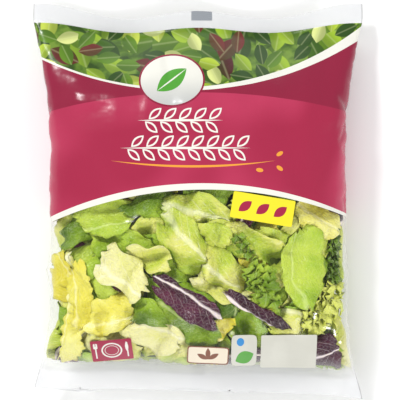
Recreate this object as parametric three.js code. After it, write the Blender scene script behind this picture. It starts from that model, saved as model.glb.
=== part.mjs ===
// A sealed pillow bag of cut salad leaves, lying on its back with the printed front up.
// Lengths are in millimetres. +Z is up, +Y runs from the bottom seal to the top seal, and
// the origin lies on the floor under the middle of the bag.
//
// The real bag is one tube of film, welded flat across both ends. Filling it draws the sides
// in, so the bag is widest at its seals and narrowest where it is thickest.
import * as THREE from "three";
import { mergeVertices } from "three/addons/utils/BufferGeometryUtils.js";

// Driving dimensions
const FLAT_WIDTH = 270; // film tube pressed flat, as it is at both seals
const BAG_LENGTH = 325; // from the corners of one seal to the corners of the other
const BODY_WIDTH = 243; // across the filled middle
const BODY_HEIGHT = 74; // floor to the top of the filled middle
const FIN_THICKNESS = 1.2; // both layers of a seal, as thick as a solid of it has to be

// Heights above the floor
const FOLD_HEIGHT = 33; // side folds, in the middle
const FIN_HEIGHT = 21; // seals, where they leave the body
const FIN_DROOP = 5; // how far a seal's outer edge hangs below its inner one

// Each end: breadth of its weld, how far from the weld the body fills out and draws in, how
// far the middle of the seal is pulled in behind its corners, how much further the left corner
// is pulled in than the right one, and the ripple along its edge
const TOP = { fin: 15, fill: 108, narrow: 110, drawnIn: 7, slant: 0, ripple: 3.9, narrowFrom: 0 };
const BOTTOM = { fin: 16, fill: 66, narrow: 84, drawnIn: 2, slant: 7, ripple: 1.4, narrowFrom: 14 };
const RIPPLE_LENGTH = 123; // along the seals, from one dip to the next
const END_SHIFT_REACH = 80; // how far into the body the drawn-in ends still show
const FILL_CURVE = 2.2; // how abruptly the body fills out from a weld, where 1 is a straight slope
const NARROW_CURVE = 2; // the same for how its sides draw in

// Roundness of the section, where 2 is an ellipse and more is boxier
const TOP_ROUNDNESS = 2.25;
const UNDERSIDE_ROUNDNESS = 2.7;
const FLOOR_PRESS = 7; // how far the underside would hang through the floor if it were round
const FLOOR_SOFTNESS = 3; // height over which the film rolls off the floor

// Relief in the film: leaves that press against it, and the puckers of its folds and seals
const BULGES = { count: 120, long: [20, 34], wide: [12, 20], height: [-1.8, 3.8], seed: 7 };
const SIDE_PUCKER = { spacing: [23, 37, 61], depth: 2.2, sharpness: 8 };
const END_PUCKER = { spacing: 31, share: 0.13, reach: 42 };

// Grid of the skin, with its rows closer together near the seals
const COLUMNS = 44;
const ROWS = 46;
const ROW_CROWDING = 0.35;

const clamp01 = (t) => Math.min(Math.max(t, 0), 1);
const smooth = (t) => clamp01(t) ** 2 * (3 - 2 * clamp01(t));
const signedPower = (t, power) => Math.sign(t) * Math.abs(t) ** power;

// Numbers from 0 to 1 that are the same on every run.
function seededRandom(seed) {
  let state = seed;
  return () => {
    state = (state * 1664525 + 1013904223) % 4294967296;
    return state / 4294967296;
  };
}

// How full the body is at y, from 0 on the welds to 1 in the filled middle.
function fullness(y) {
  const fromTop = clamp01((BAG_LENGTH / 2 - TOP.fin - y) / TOP.fill);
  const fromBottom = clamp01((BAG_LENGTH / 2 - BOTTOM.fin + y) / BOTTOM.fill);
  return (1 - (1 - fromTop) ** FILL_CURVE) * (1 - (1 - fromBottom) ** FILL_CURVE);
}

// Half the bag's width at y.
function halfWidth(y) {
  const fromTop = clamp01((BAG_LENGTH / 2 - TOP.fin + TOP.narrowFrom - y) / TOP.narrow);
  const fromBottom = clamp01((BAG_LENGTH / 2 - BOTTOM.fin + BOTTOM.narrowFrom + y) / BOTTOM.narrow);
  const drawn = (1 - (1 - fromTop) ** NARROW_CURVE) * (1 - (1 - fromBottom) ** NARROW_CURVE);
  return (FLAT_WIDTH - (FLAT_WIDTH - BODY_WIDTH) * drawn) / 2;
}

// Height of the side folds and the welds at y.
function foldHeight(y, full) {
  const outerEdge = clamp01((Math.abs(y) - BAG_LENGTH / 2 + TOP.fin) / TOP.fin);
  return FIN_HEIGHT + (FOLD_HEIGHT - FIN_HEIGHT) * smooth(full) - FIN_DROOP * outerEdge;
}

// How far the end nearer to y is pulled in towards the body at x, and how it ripples there.
function endShape(x, y) {
  const end = y > 0 ? TOP : BOTTOM;
  const wave = (across) => Math.cos((2 * Math.PI * across) / RIPPLE_LENGTH);
  const ripple = end.ripple * (wave(x) - wave(FLAT_WIDTH / 2));
  const slanted = end.slant * (0.5 - x / FLAT_WIDTH);
  const inward = end.drawnIn * (1 - ((2 * x) / FLAT_WIDTH) ** 2) + slanted - ripple;
  const fromFin = (BAG_LENGTH / 2 - end.fin - Math.abs(y)) / END_SHIFT_REACH;
  const share = 1 - smooth(fromFin);
  return { shift: -Math.sign(y) * inward * share, lift: ripple * share };
}

// Rounded places where a leaf presses the film out, or where it sinks in between leaves.
function scatterBulges() {
  const random = seededRandom(BULGES.seed);
  const between = ([low, high]) => low + (high - low) * random();
  return Array.from({ length: BULGES.count }, (_, index) => ({
    x: (random() - 0.5) * BODY_WIDTH,
    y: (random() - 0.5) * BAG_LENGTH,
    turn: random() * Math.PI,
    long: between(BULGES.long),
    wide: between(BULGES.wide),
    height: between(BULGES.height),
    side: index % 2 ? 1 : -1,
  }));
}

const bulges = scatterBulges();

function bulgeHeight(x, y, side) {
  let height = 0;
  for (const bulge of bulges) {
    if (bulge.side !== side) continue;
    const along = (x - bulge.x) * Math.cos(bulge.turn) + (y - bulge.y) * Math.sin(bulge.turn);
    const across = (y - bulge.y) * Math.cos(bulge.turn) - (x - bulge.x) * Math.sin(bulge.turn);
    const reach = (along / bulge.long) ** 2 + (across / bulge.wide) ** 2;
    if (reach < 1) height += bulge.height * (1 - reach) ** 2;
  }
  return height;
}

// The film that runs to a side fold is gathered, because the fold is shorter than the film.
// Waves of several lengths, which differ between the two folds, keep the puckers uneven.
function sidePucker(y, edge) {
  const waves = SIDE_PUCKER.spacing.map((spacing, index) =>
    Math.cos((2 * Math.PI * y) / spacing + index * index * Math.sign(edge)),
  );
  const wave = 0.5 + waves.reduce((sum, one) => sum + one) / (2 * waves.length);
  return -SIDE_PUCKER.depth * wave * Math.abs(edge) ** SIDE_PUCKER.sharpness;
}

// Creases fan out of the welds and fade into the body.
function endPucker(x, y, side) {
  const fromWeld = Math.min(BAG_LENGTH / 2 - TOP.fin - y, BAG_LENGTH / 2 - BOTTOM.fin + y);
  const fade = Math.exp(-Math.max(fromWeld, 0) / END_PUCKER.reach);
  return 1 + END_PUCKER.share * fade * Math.cos((2 * Math.PI * x) / END_PUCKER.spacing + side);
}

// Rolls off the floor instead of passing through it.
function liftOffFloor(z) {
  if (z >= FLOOR_SOFTNESS) return z;
  if (z <= -FLOOR_SOFTNESS) return 0;
  return (z + FLOOR_SOFTNESS) ** 2 / (4 * FLOOR_SOFTNESS);
}

// The point of the skin at across (-1 to 1 from side fold to side fold) and along (0 to 1
// from the bottom seal to the top seal), on the upper (side 1) or under (side -1) layer.
function skinPoint(across, along, side) {
  const crowded = along - 0.5 - (ROW_CROWDING * Math.sin(2 * Math.PI * along)) / (2 * Math.PI);
  const y = BAG_LENGTH * crowded;
  const full = fullness(y);
  const fold = foldHeight(y, full);
  const roundness = side > 0 ? TOP_ROUNDNESS : UNDERSIDE_ROUNDNESS;
  const depth = (side > 0 ? BODY_HEIGHT - FOLD_HEIGHT : FOLD_HEIGHT + FLOOR_PRESS) * full;

  const angle = (across * Math.PI) / 2;
  const edge = signedPower(Math.sin(angle), 2 / roundness);
  const rise = signedPower(Math.cos(angle), 2 / roundness);
  const x = halfWidth(y) * edge;

  const relief = full * (bulgeHeight(x, y, side) + sidePucker(y, edge));
  const end = endShape(x, y);
  const above = depth * rise * endPucker(x, y, side) + relief * rise + FIN_THICKNESS / 2;
  return new THREE.Vector3(
    x + relief * edge,
    y + end.shift,
    liftOffFloor(fold + end.lift + side * above),
  );
}

// A box with a grid on its two large faces, each point of which is moved onto the skin. The
// box's narrow faces become the edges of the seals and the two side folds.
function bagGeometry() {
  const box = new THREE.BoxGeometry(2, 1, 2, COLUMNS, ROWS, 1);
  box.deleteAttribute("normal");
  box.deleteAttribute("uv");
  const skin = mergeVertices(box);
  const position = skin.getAttribute("position");
  for (let i = 0; i < position.count; i += 1) {
    const point = skinPoint(position.getX(i), position.getY(i) + 0.5, Math.sign(position.getZ(i)));
    position.setXYZ(i, point.x, point.y, point.z);
  }
  return centredOnFloor(skin);
}

// Moves the middle of the bag's outline over the origin. Its height is already right.
function centredOnFloor(geometry) {
  geometry.computeBoundingBox();
  const middle = geometry.boundingBox.getCenter(new THREE.Vector3());
  geometry.translate(-middle.x, -middle.y, 0);
  geometry.computeVertexNormals();
  return geometry;
}

const clearFilmOverLeaves = new THREE.MeshStandardMaterial({
  color: 0xb9cf6e,
  roughness: 0.25,
  metalness: 0,
});

const saladBag = new THREE.Mesh(bagGeometry(), clearFilmOverLeaves);
saladBag.name = "salad_bag";

const bag = new THREE.Group();
bag.add(saladBag);

export default bag;
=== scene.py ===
"""A sealed clear pillow bag of cut salad leaves, lying on its back with its print up.

The film is one tube, welded flat across both ends. Every place on it is given as on the film
pressed flat: girth runs from the middle of the front, past a side fold, to the middle of the
back, and length runs from the bottom edge to the top one. The leaves are laid in the same
coordinates against the inside of the film, the outermost first, each further one under those
before it, and a lumpy core of packed leaf fills what is left.
"""

import math
from collections import namedtuple

import bmesh
import bpy
import numpy as np
from bpy.props import FloatProperty, FloatVectorProperty, IntProperty, PointerProperty
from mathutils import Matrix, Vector
from mathutils.bvhtree import BVHTree


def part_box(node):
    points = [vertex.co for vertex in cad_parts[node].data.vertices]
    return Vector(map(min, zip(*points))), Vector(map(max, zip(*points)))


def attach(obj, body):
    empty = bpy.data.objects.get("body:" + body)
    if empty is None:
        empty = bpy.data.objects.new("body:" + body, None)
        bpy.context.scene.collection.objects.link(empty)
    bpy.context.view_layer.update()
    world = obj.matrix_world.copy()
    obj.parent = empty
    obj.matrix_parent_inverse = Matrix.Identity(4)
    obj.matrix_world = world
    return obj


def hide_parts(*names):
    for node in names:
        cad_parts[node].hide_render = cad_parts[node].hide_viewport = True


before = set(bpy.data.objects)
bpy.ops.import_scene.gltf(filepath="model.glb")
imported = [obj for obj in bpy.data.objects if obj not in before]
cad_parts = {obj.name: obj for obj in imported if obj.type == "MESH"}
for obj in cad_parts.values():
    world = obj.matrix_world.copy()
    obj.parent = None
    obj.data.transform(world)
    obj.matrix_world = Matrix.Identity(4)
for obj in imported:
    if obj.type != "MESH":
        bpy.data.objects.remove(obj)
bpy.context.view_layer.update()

bl_info = {
    "name": "Salad bag",
    "version": (1, 0, 0),
    "blender": (4, 5, 0),
    "location": "View3D > Sidebar > Salad bag",
    "description": "A sealed clear pillow bag of cut salad leaves",
    "category": "Add Mesh",
}

MM = 0.001
CAD_NODE = "salad_bag"

# The film pressed flat
FLAT_WIDTH = 270 * MM
GIRTH = 2 * FLAT_WIDTH
FILM_LENGTH = 325 * MM
TOP_WELD = 15 * MM
BOTTOM_WELD = 16 * MM
WELD_FOOT = FILM_LENGTH - TOP_WELD
FILM_COLUMNS = 160
FILM_ROWS = 98

# What the leaves keep clear of: the welds, the film, and even more its tight side folds
CONTENTS_FROM = BOTTOM_WELD + 9 * MM
CONTENTS_TO = WELD_FOOT - 22 * MM
FILM_CLEARANCE = 1.3 * MM
FOLD_CLEARANCE = 1.6 * MM
FOLD_REACH = 9 * MM

# The print hides what is above this length, so fewer leaves are laid there
PRINT_FROM = 178 * MM

SEED = 11


def linear(hex_colour):
    """An sRGB hex colour as linear red, green and blue."""
    parts = [int(hex_colour[i : i + 2], 16) / 255 for i in (1, 3, 5)]
    return tuple(p / 12.92 if p <= 0.04045 else ((p + 0.055) / 1.055) ** 2.4 for p in parts)


def colour_property(name, description, hex_colour):
    return FloatVectorProperty(
        name=name, description=description, default=linear(hex_colour), subtype="COLOR", size=3,
        min=0, max=1,
    )


class SaladBagSizes(bpy.types.PropertyGroup):
    """Sizes that a user may change"""

    film_inset: FloatProperty(
        name="Film inset", description="How far the film lies inside the solid's skin",
        default=0.3 * MM, unit="LENGTH",
    )
    crease_height: FloatProperty(
        name="Crease height", description="Height of the sharp creases in the film",
        default=1.1 * MM, unit="LENGTH",
    )
    leaf_gap: FloatProperty(
        name="Leaf gap", description="Air between a leaf and the one that lies on it",
        default=1.4 * MM, unit="LENGTH",
    )
    leaf_thickness: FloatProperty(
        name="Leaf thickness", description="Thickness of a leaf at its rib",
        default=1.1 * MM, unit="LENGTH",
    )
    core_depth: FloatProperty(
        name="Core depth", description="How far under the film the packed core begins",
        default=24 * MM, unit="LENGTH",
    )
    leaves_in_sight: IntProperty(
        name="Leaves in sight", description="Leaves laid at random where the film is clear",
        default=190,
    )
    leaves_behind_print: IntProperty(
        name="Leaves behind the print", description="Leaves laid at random behind the print",
        default=50,
    )


class SaladBagColours(bpy.types.PropertyGroup):
    """Colours that a user may change"""

    band: colour_property("Band", "The printed crimson field", "#9e2544")
    band_light: colour_property("Band light", "Where the field is lighter", "#b33556")
    band_shade: colour_property("Band shade", "The darker field above it", "#8a1f3b")
    white_ink: colour_property("White ink", "Arcs, badge and ornament", "#e2e1d8")
    gold_ink: colour_property("Gold ink", "The thin arc and the seeds", "#e39a3a")
    yellow_ink: colour_property("Yellow ink", "The tilted tag", "#e8da30")
    panel_ink: colour_property("Panel ink", "The panel for the date and the rounded label", "#cac9be")
    mark_ink: colour_property("Mark ink", "The sensor's mark on the top weld", "#8d9298")
    cream_ink: colour_property("Cream ink", "Ground of the small label", "#e6dac4")
    brown_ink: colour_property("Brown ink", "Frame of the small label", "#7c4a34")
    leaf_ink: colour_property("Leaf ink", "Leaves drawn on the badge and label", "#4f9a35")
    drop_ink: colour_property("Drop ink", "The water drop on the label", "#2f86c6")
    floor: colour_property("Floor", "The pale floor", "#fbfbfb")


def sizes():
    return bpy.context.scene.salad_bag_sizes


def colours():
    return bpy.context.scene.salad_bag_colours


def ink(name):
    return (*getattr(colours(), name), 1)


# Reading the form of the bag from the frame


class Skin:
    """The outside of the CAD solid, felt with rays."""

    # Heights at which rays feel for the outline, and how far out they start, in metres
    LEVELS = np.arange(0.4 * MM, 78 * MM, 0.4 * MM)
    OUTSIDE = 0.4

    def __init__(self, node):
        self.tree = BVHTree.FromObject(node, bpy.context.evaluated_depsgraph_get())
        (self.left, self.bottom, _), (self.right, self.top, _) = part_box(CAD_NODE)

    def furthest(self, along, axis, side):
        """The solid's furthest point on one side, at a place along the other axis."""
        best = None
        direction = Vector((0, 0, 0))
        direction[axis] = -side
        for level in self.LEVELS:
            start = Vector((along, along, level))
            start[axis] = side * self.OUTSIDE
            hit = self.tree.ray_cast(start, direction)[0]
            if hit and (best is None or side * hit[axis] > side * best[axis]):
                best = hit
        return best

    def edge(self, axis, side, low, high, count):
        """Points along one edge of the outline."""
        places = np.linspace(low, high, count)
        found = [self.furthest(place, axis, side) for place in places]
        return np.array([point for point in found if point])

    def height(self, x, y, side):
        """Height of the upper (side 1) or under (side -1) layer over a place."""
        start = Vector((x, y, side * self.OUTSIDE))
        hit = self.tree.ray_cast(start, Vector((0, 0, -side)))[0]
        return hit.z if hit else None


class Film:
    """The film's points, in rows of length and columns of girth.

    The columns start and end at the middle of the back, and go round by way of the left side
    fold (a quarter), the middle of the front (half) and the right side fold.
    """

    # Points read along each side fold, along each end, and over each layer of a row
    FOLD_READINGS = 140
    END_READINGS = 90
    ROW_READINGS = 60

    # How far inside the corners, the ends' furthest points and the ends the rays are cast
    CORNER_MARGIN = 0.6 * MM
    REACH_MARGIN = 0.7 * MM
    END_MARGIN = 0.2 * MM

    # Share of the solid's thickness that the film keeps in its welds, and the length over
    # which its layers part beside them
    WELD_SHARE = 0.15
    PARTING = 6 * MM

    # How far to the sides the flat middle of the contents spreads, as a share
    MIDDLE_SPREAD = 0.8

    def __init__(self, node):
        skin = Skin(node)
        low, high = skin.bottom + self.CORNER_MARGIN, skin.top - self.CORNER_MARGIN
        left, right = skin.left + self.CORNER_MARGIN, skin.right - self.CORNER_MARGIN
        self.folds = [skin.edge(0, side, low, high, self.FOLD_READINGS) for side in (-1, 1)]
        self.ends = [skin.edge(1, side, left, right, self.END_READINGS) for side in (-1, 1)]
        self.points = self.read(skin)

    def end_y(self, x, side):
        end = self.ends[(side + 1) // 2]
        return np.interp(x, end[:, 0], end[:, 1])

    def fold_point(self, y, side):
        fold = self.folds[(side + 1) // 2]
        x, z = (np.interp(y, fold[:, 1], fold[:, axis]) for axis in (0, 2))
        return np.array([x, y, z])

    def read(self, skin):
        rows = [self.row(skin, share) for share in np.linspace(0, 1, FILM_ROWS + 1)]
        return np.array(rows)

    def row(self, skin, share):
        """One row of points round the bag, evenly spaced along each half of its girth."""
        rightward = np.linspace(-1, 1, self.ROW_READINGS)
        leftward = np.linspace(1, -1, self.ROW_READINGS)
        front = [self.probe(skin, share, across, 1) for across in rightward]
        back = [self.probe(skin, share, across, -1) for across in leftward]
        quarter = FILM_COLUMNS // 4
        front = evenly(np.array(front), 2 * quarter)
        back = evenly(np.array(back), 2 * quarter)
        return np.concatenate([back[quarter:], front[1:], back[1 : quarter + 1]])

    def probe(self, skin, share, across, side):
        """The point of a layer at across, from -1 at the left fold to 1 at the right one."""
        sine = math.sin(across * math.pi / 2)
        x = sine * FLAT_WIDTH / 2
        for _ in range(3):
            y = self.end_y(x, -1) + share * (self.end_y(x, 1) - self.end_y(x, -1))
            y = min(max(y, skin.bottom + self.REACH_MARGIN), skin.top - self.REACH_MARGIN)
            left, right = self.fold_point(y, -1), self.fold_point(y, 1)
            x = (left[0] + right[0]) / 2 + sine * (right[0] - left[0]) / 2
        if abs(across) > 0.999:
            return right if across > 0 else left
        low, high = self.end_y(x, -1) + self.END_MARGIN, self.end_y(x, 1) - self.END_MARGIN
        height = skin.height(x, min(max(y, low), high), side)
        if height is None:
            height = (left[2] + right[2]) / 2
        return np.array([x, y, height])

    def at(self, girth, length):
        """Points of the film at places given as on the flat film."""
        return sample(self.points, girth, length)

    def inward(self, girth, length):
        """From points of the film, the way to the flat middle of the contents, and how far."""
        points = self.at(girth, length)
        middle_height = sample(self.axis_height, girth, length)
        middle_x = self.MIDDLE_SPREAD * points[..., 0]
        towards = np.stack([middle_x, points[..., 1], middle_height[..., 0]], axis=-1)
        way = towards - points
        room = np.linalg.norm(way, axis=-1, keepdims=True)
        return points, way / np.maximum(room, 1e-6), room[..., 0]

    def press_welds(self):
        """Draws the two layers of each weld together, and lets them part beside it."""
        opposite = self.points[:, (FILM_COLUMNS // 2 - np.arange(FILM_COLUMNS + 1)) % FILM_COLUMNS]
        middle = (self.points + opposite) / 2
        length = np.linspace(0, FILM_LENGTH, FILM_ROWS + 1)
        beside = np.minimum(length - BOTTOM_WELD, WELD_FOOT - length)
        apart = np.interp(beside, (0, self.PARTING), (self.WELD_SHARE, 1))[:, None, None]
        self.points = middle + apart * (self.points - middle)

    def settle(self):
        """Prepares what inward() reads, once the points are final."""
        self.press_welds()
        quarter = FILM_COLUMNS // 4
        front = self.points[:, 2 * quarter, 2]
        back = self.points[:, 0, 2]
        axis = (0.5 * (front + back))[:, None, None]
        self.axis_height = np.repeat(axis, FILM_COLUMNS + 1, axis=1)

    def place_of(self, x, y):
        """Girth and length of the front's point over a place, in metres."""
        quarter = FILM_COLUMNS // 4
        front = self.points[:, quarter : 3 * quarter + 1, :2]
        away = np.linalg.norm(front - np.array([x, y]), axis=-1)
        row, column = np.unravel_index(np.argmin(away), away.shape)
        return (column / (2 * quarter) - 0.5) * FLAT_WIDTH, row / FILM_ROWS * FILM_LENGTH


def before_seam(girth):
    """The same places, kept just short of where the columns start again."""
    return np.clip(girth, -GIRTH / 2, GIRTH / 2 - 1e-9)


def evenly(points, count):
    """The same line with count equal steps."""
    steps = np.linalg.norm(np.diff(points, axis=0), axis=1)
    run = np.concatenate([[0], np.cumsum(steps)])
    wanted = np.linspace(0, run[-1], count + 1)
    return np.stack([np.interp(wanted, run, points[:, axis]) for axis in range(3)], axis=1)


def sample(grid, girth, length):
    """Values of a rows by columns grid, between its points."""
    column = ((girth / GIRTH + 0.5) % 1.0) * FILM_COLUMNS
    row = np.clip(length / FILM_LENGTH, 0, 1) * FILM_ROWS
    c0 = np.minimum(column.astype(int), FILM_COLUMNS - 1)
    r0 = np.minimum(row.astype(int), FILM_ROWS - 1)
    c = (column - c0)[..., None]
    r = (row - r0)[..., None]
    lower = grid[r0, c0] * (1 - c) + grid[r0, c0 + 1] * c
    upper = grid[r0 + 1, c0] * (1 - c) + grid[r0 + 1, c0 + 1] * c
    return lower * (1 - r) + upper * r


# Meshes


def finish_piece(bm, name, material, slot):
    """Makes an object of a bmesh, gives it its material and lets it ride on the bag."""
    mesh = bpy.data.meshes.new(name)
    bm.to_mesh(mesh)
    bm.free()
    mesh.shade_smooth()
    mesh.materials.append(material)
    piece = bpy.data.objects.new(name, mesh)
    bpy.context.scene.collection.objects.link(piece)
    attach(piece, "root")
    return piece


def grid_verts(bm, columns, rows):
    """A new grid in bm, with its vertices and their places from -1 to 1 across and along."""
    made = bmesh.ops.create_grid(bm, x_segments=columns, y_segments=rows, size=1)["verts"]
    places = np.array([vert.co[:2] for vert in made])
    return made, places[:, 0], places[:, 1]


def move_to(verts, points):
    for vert, point in zip(verts, points):
        vert.co = point


# The film's creases

Crease = namedtuple("Crease", "girth length turn reach breadth height")

# Deep pinches in the side folds, where the print ends in a few sharp dents
PINCHES = (
    Crease(127 * MM, 241 * MM, -0.6, 18 * MM, 3.2 * MM, -4.2),
    Crease(128 * MM, 222 * MM, 0.8, 17 * MM, 2.6 * MM, -3.4),
    Crease(130 * MM, 204 * MM, -0.3, 12 * MM, 2.4 * MM, -2.2),
    Crease(-132 * MM, 232 * MM, 0.5, 12 * MM, 2.2 * MM, -2.2),
)

# How far apart the puckers are along the side folds and along the welds, where those of
# the folds begin and end, and how high creases that cross can rise, in crease heights
SIDE_PITCH = 9 * MM
END_PITCH = 13 * MM
SIDE_SPAN = (30 * MM, FILM_LENGTH - 25 * MM)
CREASE_LIMIT = 2.5


def crease_lines(rng):
    """Sharp creases: places on the flat film, with a direction, length, breadth and height."""
    lines = list(PINCHES)
    for side in (-1, 1):
        for length in np.arange(*SIDE_SPAN, SIDE_PITCH):
            lines.append(side_crease(rng, side, length))
    for end in (0, 1):
        for girth in np.arange(-GIRTH / 2, GIRTH / 2, END_PITCH):
            lines.append(end_crease(rng, end, girth))
    return lines


def side_crease(rng, side, length):
    """A pucker that runs from a side fold onto the front or the back."""
    fold = side * FLAT_WIDTH / 2
    offset = rng.uniform(-9, 9) * MM
    return Crease(
        girth=fold + offset,
        length=length + rng.uniform(-5, 5) * MM,
        turn=rng.uniform(-0.6, 0.6),
        reach=rng.uniform(10, 30) * MM,
        breadth=rng.uniform(1.4, 3.2) * MM,
        height=rng.uniform(-1, 0.5),
    )


def end_crease(rng, end, girth):
    """A pucker that runs out of a weld into the body."""
    weld = WELD_FOOT if end else BOTTOM_WELD
    inward = -1 if end else 1
    reach = rng.uniform(12, 34) * MM
    return Crease(
        girth=girth + rng.uniform(-6, 6) * MM,
        length=weld + inward * reach * 0.8,
        turn=math.pi / 2 + rng.uniform(-0.35, 0.35),
        reach=reach,
        breadth=rng.uniform(1.4, 3.0) * MM,
        height=rng.uniform(-1, 0.4),
    )


def film_depth(girth, length, lines):
    """How far the film lies inside the solid's skin at places on it, with its creases."""
    total = np.zeros_like(girth)
    for line in lines:
        across = (girth - line.girth + GIRTH / 2) % GIRTH - GIRTH / 2
        away = length - line.length
        run = across * math.cos(line.turn) + away * math.sin(line.turn)
        off = away * math.cos(line.turn) - across * math.sin(line.turn)
        fade = np.clip(1 - (run / line.reach) ** 2, 0, 1) ** 1.5
        total += line.height * fade * np.exp(-np.abs(off) / line.breadth)
    raised = sizes().crease_height * np.tanh(total / CREASE_LIMIT) * CREASE_LIMIT
    return np.maximum(sizes().film_inset - raised, 0)


# Leaves

Kind = namedtuple(
    "Kind",
    "name slot length width boxy ragged tooth tooth_pitch wave crumple frill frill_pitch cell ribs"
    " weight",
)

# Each kind of leaf, in millimetres where it is a size: length and width of a cut piece, how
# square and how ragged its outline is, depth and pitch of its teeth, height of its waves, of
# its crumples and of its frilled edge, the frill's pitch, the spacing of its mesh, how far its
# rib may lie from its middle, and its share of the mix
PALE = Kind(
    "pale_leaves", "pale_leaf", (38, 80), (28, 50), (2.0, 3.6), 0.17, 0.3, 8, 10, 2.6, 1.6, 15,
    2.4, 26, 0.36,
)
GREEN = Kind(
    "green_leaves", "green_leaf", (36, 74), (24, 44), (2.0, 3.4), 0.16, 0.6, 6, 10, 2.6, 2.8, 11,
    2.4, 26, 0.22,
)
HEART = Kind(
    "heart_leaves", "pale_leaf", (32, 62), (22, 38), (1.9, 3.2), 0.15, 1.6, 5, 9, 2.4, 3.2, 9,
    2.0, 12, 0.14,
)
CURLY = Kind(
    "curly_leaves", "curly_leaf", (32, 60), (20, 34), (2.0, 3.0), 0.2, 2.6, 4, 4.0, 0.9, 7.5, 6,
    1.5, 2, 0.16,
)
RED = Kind(
    "red_leaves", "red_leaf", (30, 60), (12, 30), (2.2, 5), 0.18, 0.5, 8, 7, 1.8, 1.8, 12,
    2.2, 7, 0.12,
)
KINDS = (PALE, GREEN, HEART, CURLY, RED)

Leaf = namedtuple("Leaf", "kind at size turn shade waved")


def leaf(kind, x, y, length, width, turn, shade, waved):
    """A leaf that shows on the front: its middle and size in millimetres, its long axis in
    degrees from the bag's width, its shade of about 0 to 1, and how much it is waved."""
    return Leaf(kind, (x * MM, y * MM), (length * MM, width * MM), math.radians(turn), shade, waved)


# The leaves that show best through the clear front, the outermost first
SHOWN = (
    leaf(GREEN, 89, -54, 64, 38, 95, 0.78, 0.4),
    leaf(RED, -9, -81, 58, 24, 146, 0.45, 0.8),
    leaf(RED, 49, -88, 60, 11, -31, 0.25, 0.6),
    leaf(PALE, -64, -58, 46, 32, -38, -0.1, 0.8),
    leaf(PALE, -40, -46, 36, 20, -15, 0.1, 0.9),
    leaf(HEART, -104, -74, 56, 30, 85, 0.4, 1.0),
    leaf(HEART, -77, -90, 48, 32, 12, 0.20, 0.8),
    # Partly painted shade: a real leaf, set to its darkest shade for the shadow under the heart leaves
    leaf(GREEN, -42, -88, 42, 22, -20, 0.0, 0.9),
    leaf(PALE, -44, -105, 60, 28, -22, -0.15, 1.0),
    leaf(CURLY, 52, -64, 44, 28, -62, 0.45, 1.0),
    leaf(CURLY, 38, -38, 30, 14, -55, 0.4, 1.0),
    leaf(PALE, -14, -34, 50, 34, -48, 0.5, 1.0),
    leaf(PALE, 19, -51, 60, 28, -32, 0.2, 1.1),
    leaf(PALE, 20, -68, 48, 24, -22, -0.1, 0.9),
    leaf(PALE, 8, -26, 38, 24, -20, 0.3, 0.9),
    leaf(PALE, 43, -34, 72, 26, -18, 0.3, 1.2),
    leaf(PALE, -1, -11, 60, 32, -12, 0.45, 0.9),
    leaf(GREEN, -41, -3, 44, 22, 20, 0.08, 1.0),
    leaf(GREEN, -78, -12, 50, 30, 12, 0.85, 0.7),
    leaf(GREEN, -68, -31, 60, 27, -8, 0.55, 1.0),
    leaf(HEART, 101, -12, 44, 30, -35, 0.1, 1.0),
    leaf(CURLY, 115, -46, 46, 18, 85, 0.06, 1.0),
    leaf(CURLY, 105, -86, 46, 36, 35, 1.15, 1.0),
    leaf(PALE, 66, -32, 36, 20, -40, 0.3, 1.0),
    leaf(PALE, 83, -97, 50, 24, -10, 0.35, 0.9),
    leaf(GREEN, -11, -99, 58, 28, -25, 0.3, 0.9),
    leaf(HEART, 13, -103, 30, 20, 0, 0.9, 1.0),
    # Partly painted shade: a real leaf, set below its darkest shade for the shaded gap between the red
    # leaves
    leaf(GREEN, 24, -87, 34, 16, 80, -0.1, 1.0),
    leaf(HEART, 11, -134, 28, 14, 0, 0.9, 0.8),
    leaf(RED, 105, -121, 28, 24, 20, 0.35, 0.8),
    leaf(RED, 43, -137, 36, 12, 5, 0.30, 0.8),
    leaf(GREEN, 104, -133, 42, 17, 5, 0.40, 0.8),
    leaf(GREEN, -86, -134, 22, 11, 20, 0.45, 0.8),
    leaf(HEART, -112, -113, 56, 34, 82, 0.05, 0.9),
    leaf(PALE, -27, -126, 50, 28, 5, 0.38, 0.8),
    leaf(PALE, -78, -121, 54, 28, -5, -0.15, 0.9),
    leaf(GREEN, -103, -23, 34, 22, 60, 0.02, 0.9),
    leaf(PALE, 108, -31, 34, 24, 80, 0.45, 1.0),
)


# Share of a leaf that the film presses flat, and how far it reaches under its middle
PRESSED_SHARE = 0.12
LEAF_BODY = 0.4 * MM

# A leaf's broad waves and its crumples, how many and of what pitch in millimetres, how
# much it is rolled up, and how much it lies aslant
WAVES = 3
WAVE_PITCH = (22, 48)
CRUMPLES = 6
CRUMPLE_PITCH = (9, 22)
ROLL = (-6, 14)
TILT = 0.3

# Painted shade: how far a leaf's shade moves along its colour ramp for lying deep, painted in
# for the shade deep in the bag (pale leaves turn greener, green ones lighter), and the depth
# beyond which it moves no more
PAINTED_DEPTH_SHADE = 0.35
PAINTED_SHADE_DEPTH = 14 * MM

# How far apart the leaflets of a curly leaf are, how much deeper the last leaves laid at
# random start than the first, and how far their middles keep from the contents' end
LEAFLET_PITCH = 9 * MM
LAYERS_DEPTH = 4 * MM
END_ROOM = 15 * MM


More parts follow.
